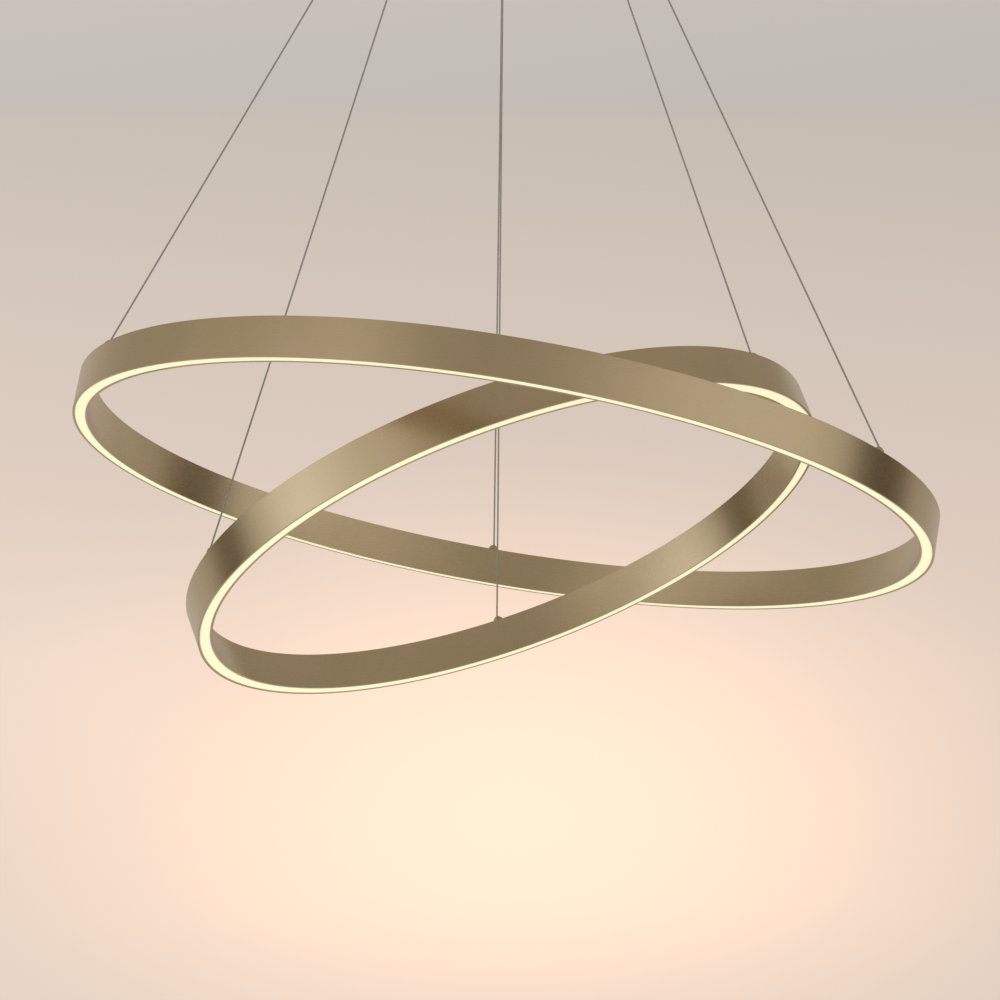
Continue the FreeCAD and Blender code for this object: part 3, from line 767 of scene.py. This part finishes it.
# Painted shade: the wall is a little darker to the right.
side_shade = fade(sky, aside, *WALL_ENDS, *WALL_SHADES, "LINEAR")
off_glow = reckon("ABSOLUTE", reckon("SUBTRACT", rise, LEFT_GLOW_RISE))
glow = reckon("MULTIPLY", fade(sky, off_glow, 0.0, LEFT_GLOW_REACH, LEFT_GLOW, 0.0),
              fade(sky, aside, *LEFT_GLOW_ENDS, 1.0, 0.0))
shade = reckon("ADD", side_shade, glow)
grey = add_node(sky, "CombineColor", Red=shade, Green=shade, Blue=shade)
wall = blended(1.0, wall, grey.outputs["Color"], "MULTIPLY")
across = reckon("SUBTRACT", aside, POOL_ASIDE)
up = reckon("MULTIPLY", reckon("SUBTRACT", rise, POOL_RISE), POOL_FLAT)
from_pool = reckon("SQRT", reckon("ADD", reckon("MULTIPLY", across, across),
                                  reckon("MULTIPLY", up, up)))
pool = reckon("MULTIPLY", fade(sky, from_pool, 0.0, POOL_REACH, 1.0, 0.0),
              fade(sky, rise, *POOL_FOOT, POOL_FOOT_SHARE, 1.0))
wall = blended(pool, wall, POOL_LIGHT)

# The room, by bearing: levels near the horizon, and above it. Eyes ahead see the wall instead.

EYE_LEVEL = {
    172: 0.7, 180: 0.98, 186: 1.28, 196: 1.5, 212: 1.34, 226: 1.12, 242: 0.66, 272: 0.47, 300: 0.79,
    325: 1.02, 352: 1.0, 8: 0.76, 22: 0.61, 38: 0.62, 52: 0.63, 90: 0.78, 118: 0.8, 140: 0.7,
    160: 0.65}
ABOVE = {
    180: 0.58, 205: 0.65, 222: 0.75, 231: 0.88, 240: 0.64, 258: 0.4, 285: 0.45, 320: 0.58, 10: 0.54,
    45: 0.6, 68: 0.78, 98: 0.8, 122: 0.71, 145: 0.57, 165: 0.52}
OVERHEAD, UNDERFOOT = 0.48, 0.42
ABOVE_FROM, OVERHEAD_FROM, UNDERFOOT_FROM = (0.14, 0.30), (0.38, 0.50), (-0.10, -0.24)
PLAIN_WALL = (0.70, 0.64, 0.575, 1)
FRONT_ASIDE, FRONT_HEIGHT, FRONT_AHEAD = (0.2, 0.42), (0.42, 0.52), (0.1, 0.3)
FILL, FILL_STRENGTH = (0.97, 0.95, 0.92, 1), 0.85

room = blended(fade(sky, way["Z"], *ABOVE_FROM), round_the_room(EYE_LEVEL), round_the_room(ABOVE))
room = blended(fade(sky, way["Z"], *OVERHEAD_FROM), room, room_tone(OVERHEAD))
room = blended(fade(sky, way["Z"], *UNDERFOOT_FROM), room, room_tone(UNDERFOOT))
rays = add_node(sky, "LightPath").outputs
room = blended(rays["Is Camera Ray"], room, PLAIN_WALL)
in_front = reckon("MULTIPLY", fade(sky, reckon("ABSOLUTE", aside), *FRONT_ASIDE, 1.0, 0.0),
                  fade(sky, way["Z"], *FRONT_HEIGHT, 1.0, 0.0))
in_front = reckon("MULTIPLY", in_front, fade(sky, way["Y"], *FRONT_AHEAD))
shown = add_node(sky, "Background", Color=blended(in_front, room, wall))
fill = add_node(sky, "Background", Color=FILL, Strength=FILL_STRENGTH)
seen = reckon("MAXIMUM", rays["Is Camera Ray"], rays["Is Glossy Ray"])
seen = reckon("MAXIMUM", seen, rays["Is Transmission Ray"])
either = add_node(sky, "MixShader", Fac=seen)
plug(fill.outputs["Background"], either.inputs[1])
plug(shown.outputs["Background"], either.inputs[2])
add_node(sky, "OutputWorld", Surface=either.outputs["Shader"])

# The two dark cloths, paler towards their far ends.

CLOTH_LOW = -1.8
CLOTHS = {"right_screen": (2.4, 0.1, 1.3, 1.55), "left_screen": (-3.0, 0.39, 1.45, 1.7)}
CLOTH_NEAR, CLOTH_FAR, CLOTH_FADE = (0.06, 0.035, 0.004, 1), (0.34, 0.25, 0.15, 1), (0.8, 1.5)

dark_cloth, tree, shader = new_material("dark_cloth")
place = add_node(tree, "SeparateXYZ", Vector=add_node(tree, "TexCoord").outputs["Object"])
fading = fade(tree, place.outputs["Y"], *CLOTH_FADE, kind="LINEAR")
set_up(shader, Roughness=0.9,
       Base_Color=washed(tree, fading, [(0.0, CLOTH_NEAR), (1.0, CLOTH_FAR)]))
for name, (beside, near, far, tall) in CLOTHS.items():
    middle = (beside, (near + far) / 2, CLOTH_LOW + tall / 2)
    bpy.ops.mesh.primitive_plane_add(size=1, location=middle, rotation=(0, math.pi / 2, 0))
    cloth = bpy.context.object
    cloth.name = cloth.data.name = name
    cloth.scale = (tall, far - near, 1)
    settle(cloth)
    dress(cloth, dark_cloth)
    cloth.visible_camera = cloth.visible_diffuse = cloth.visible_shadow = False

# Three soft lamps, left, right and above, which the metal doesn't mirror.

LAMPS = {"left_light": ((-2.4, -0.9, -0.6), 14), "right_light": ((2.2, -1.5, -0.6), 12),
         "top_light": ((0.3, -0.4, 1.8), 16)}
LAMP_SIZE, LAMP_AIM = 1.6, Vector((0, 0, -0.7))

for name, (place, power) in LAMPS.items():
    lamp = bpy.data.lights.new(name, "AREA")
    lamp.shape, lamp.size, lamp.energy = "SQUARE", LAMP_SIZE, power
    holder = bpy.data.objects.new(name, lamp)
    bpy.context.collection.objects.link(holder)
    holder.location = place
    holder.rotation_euler = (LAMP_AIM - Vector(place)).to_track_quat("-Z", "Y").to_euler()
    holder.visible_glossy = False

# ---- Camera: it stands in front, below the rings, and looks a little up at them.
# ---- A long lens keeps the two rings nearly free of perspective, as in the photograph.

CAMERA_PLACE, CAMERA_TURN, SENSOR, LENS = (0, -3.0408, -1.5120), (103.7, 0, 0.079), 36, 122.28

camera_data = bpy.data.cameras.new("camera")
camera_data.sensor_width, camera_data.lens = SENSOR, LENS
camera = bpy.data.objects.new("camera", camera_data)
bpy.context.collection.objects.link(camera)
camera.location = CAMERA_PLACE
camera.rotation_euler = [math.radians(degrees) for degrees in CAMERA_TURN]
bpy.context.scene.camera = camera
bpy.context.scene.view_settings.view_transform = "Standard"
